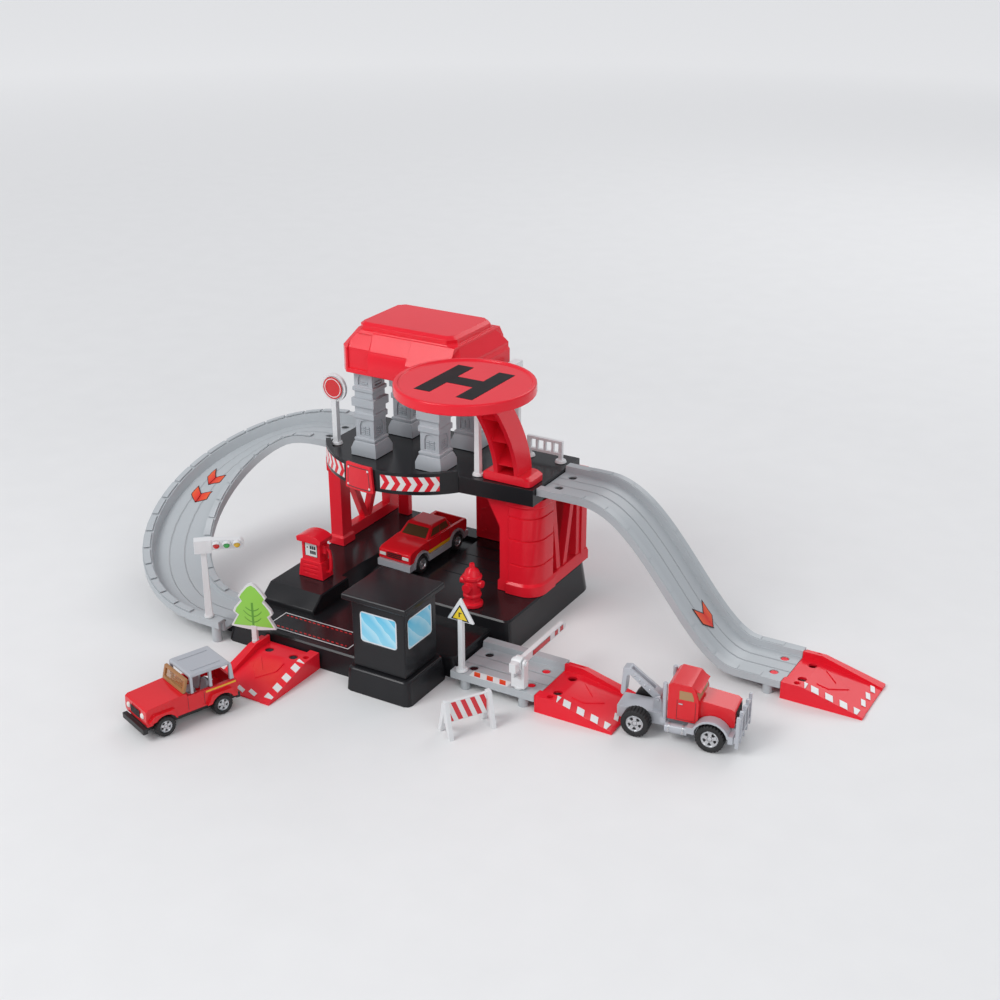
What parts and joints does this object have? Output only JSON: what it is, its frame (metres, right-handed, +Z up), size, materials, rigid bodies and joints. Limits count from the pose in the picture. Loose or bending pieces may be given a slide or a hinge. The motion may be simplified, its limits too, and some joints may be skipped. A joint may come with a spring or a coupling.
{
  "type": "toy parking garage",
  "caption": "Toy parking garage with an upper deck, a roof on pillars, a helipad, two falling car tracks, ramps, a booth and street furniture.",
  "frame": {"origin": "the underside of the tray, below the middle of the tower's width, on the surface it stands on", "axes": "+Z up, +X to the right seen from the front, towards the sloping track, and +Y to the back"},
  "size_m": [0.5014, 0.3129, 0.1938],
  "materials": {
    "red_plastic": "gloss",
    "black_plastic": "gloss",
    "grey_plastic": "satin",
    "white_plastic": "satin",
    "green_board": "satin",
    "red_paint": "gloss",
    "silver_plastic": "satin",
    "tan_plastic": "gloss",
    "tyre_plastic": "satin"
  },
  "bodies": {
    "garage": {"left_wall": "red_plastic", "right_wall": "red_plastic", "back_wall": "red_plastic", "deck_sign": "red_plastic", "roof": "red_plastic", "helipad_arm": "red_plastic", "helipad_disc": "red_plastic", "front_ramp": "red_plastic", "exit_ramp": "red_plastic", "right_end_ramp": "red_plastic", "fuel_pump": "red_plastic", "hydrant": "red_plastic", "base_tray": "black_plastic", "booth_plinth": "black_plastic", "booth_walls": "black_plastic", "booth_roof": "black_plastic", "upper_deck": "black_plastic", "roof_pillar_front_left": "grey_plastic", "roof_pillar_front_right": "grey_plastic", "roof_pillar_back_left": "grey_plastic", "roof_pillar_back_right": "grey_plastic", "left_curve_track": "grey_plastic", "right_slope_track": "grey_plastic", "exit_plate": "grey_plastic", "deck_fence": "white_plastic", "barrier_post": "white_plastic", "barricade": "white_plastic", "open_car_body": "red_paint", "truck_cab": "red_paint", "pickup_body": "red_paint", "open_car_cage": "silver_plastic", "truck_chassis": "silver_plastic", "truck_guard": "silver_plastic", "pickup_chassis": "silver_plastic", "open_car_windscreen": "tan_plastic", "open_car_chassis": "tyre_plastic"},
    "round_sign": {"round_sign": "white_plastic"},
    "lamp_post_front": {"lamp_post_front": "white_plastic"},
    "lamp_post_back": {"lamp_post_back": "white_plastic"},
    "triangle_sign": {"triangle_sign": "white_plastic"},
    "barrier_arm": {"barrier_arm": "white_plastic"},
    "traffic_light": {"traffic_light": "white_plastic"},
    "tree_sign": {"tree_sign": "green_board"},
    "open_car_front_axle": {"open_car_front_axle": "tyre_plastic"},
    "open_car_rear_axle": {"open_car_rear_axle": "tyre_plastic"},
    "truck_front_axle": {"truck_front_axle": "tyre_plastic"},
    "truck_rear_axle": {"truck_rear_axle": "tyre_plastic"},
    "pickup_front_axle": {"pickup_front_axle": "tyre_plastic"},
    "pickup_rear_axle": {"pickup_rear_axle": "tyre_plastic"},
    "truck_boom": {"truck_boom": "silver_plastic"}
  },
  "joints": [
    {"name": "barrier_lift", "type": "hinge", "parent": "garage", "child": "barrier_arm", "pos_m": [0.12, -0.0655, 0.029], "axis": [1, 0, 0], "range_deg": [0, 85]},
    {"name": "round_sign_swivel", "type": "hinge", "parent": "garage", "child": "round_sign", "pos_m": [-0.0725, 0.0205, 0.1026], "axis": [0, 0, 1], "range_deg": [-90, 90]},
    {"name": "lamp_front_swivel", "type": "hinge", "parent": "garage", "child": "lamp_post_front", "pos_m": [0.0396, 0.021, 0.1026], "axis": [0, 0, 1], "range_deg": [0, 180]},
    {"name": "lamp_back_swivel", "type": "hinge", "parent": "garage", "child": "lamp_post_back", "pos_m": [0.0426, 0.067, 0.1026], "axis": [0, 0, 1], "range_deg": [0, 180]},
    {"name": "triangle_sign_swivel", "type": "hinge", "parent": "garage", "child": "triangle_sign", "pos_m": [0.079, -0.0655, 0.0118], "axis": [0, 0, 1], "range_deg": [-90, 90]},
    {"name": "traffic_light_swivel", "type": "hinge", "parent": "garage", "child": "traffic_light", "pos_m": [-0.096, -0.0955, 0.0163], "axis": [0, 0, 1], "range_deg": [-90, 90]},
    {"name": "tree_sign_swivel", "type": "hinge", "parent": "garage", "child": "tree_sign", "pos_m": [-0.0539, -0.1007, 0.0118], "axis": [0, 0, 1], "range_deg": [-90, 90]},
    {"name": "open_car_front_axle_spin", "type": "hinge", "parent": "garage", "child": "open_car_front_axle", "pos_m": [-0.0545, -0.19485, 0.0065], "axis": [0.9397, -0.342, 0], "continuous": true},
    {"name": "open_car_rear_axle_spin", "type": "hinge", "parent": "garage", "child": "open_car_rear_axle", "pos_m": [-0.0415, -0.15915, 0.0065], "axis": [0.9397, -0.342, 0], "continuous": true},
    {"name": "truck_front_axle_spin", "type": "hinge", "parent": "garage", "child": "truck_front_axle", "pos_m": [0.23828, -0.04137, 0.00875], "axis": [-0.1392, 0.9903, 0], "continuous": true},
    {"name": "truck_rear_axle_spin", "type": "hinge", "parent": "garage", "child": "truck_rear_axle", "pos_m": [0.19372, -0.04763, 0.00875], "axis": [-0.1392, 0.9903, 0], "continuous": true},
    {"name": "pickup_front_axle_spin", "type": "hinge", "parent": "garage", "child": "pickup_front_axle", "pos_m": [-0.02075, 0.02351, 0.0258], "axis": [0.9994, -0.0349, 0], "continuous": true},
    {"name": "pickup_rear_axle_spin", "type": "hinge", "parent": "garage", "child": "pickup_rear_axle", "pos_m": [-0.01925, 0.06649, 0.0258], "axis": [0.9994, -0.0349, 0], "continuous": true},
    {"name": "truck_boom_tilt", "type": "hinge", "parent": "garage", "child": "truck_boom", "pos_m": [0.20412, -0.04617, 0.021], "axis": [-0.1392, 0.9903, 0], "range_deg": [-8, 25]}
  ]
}
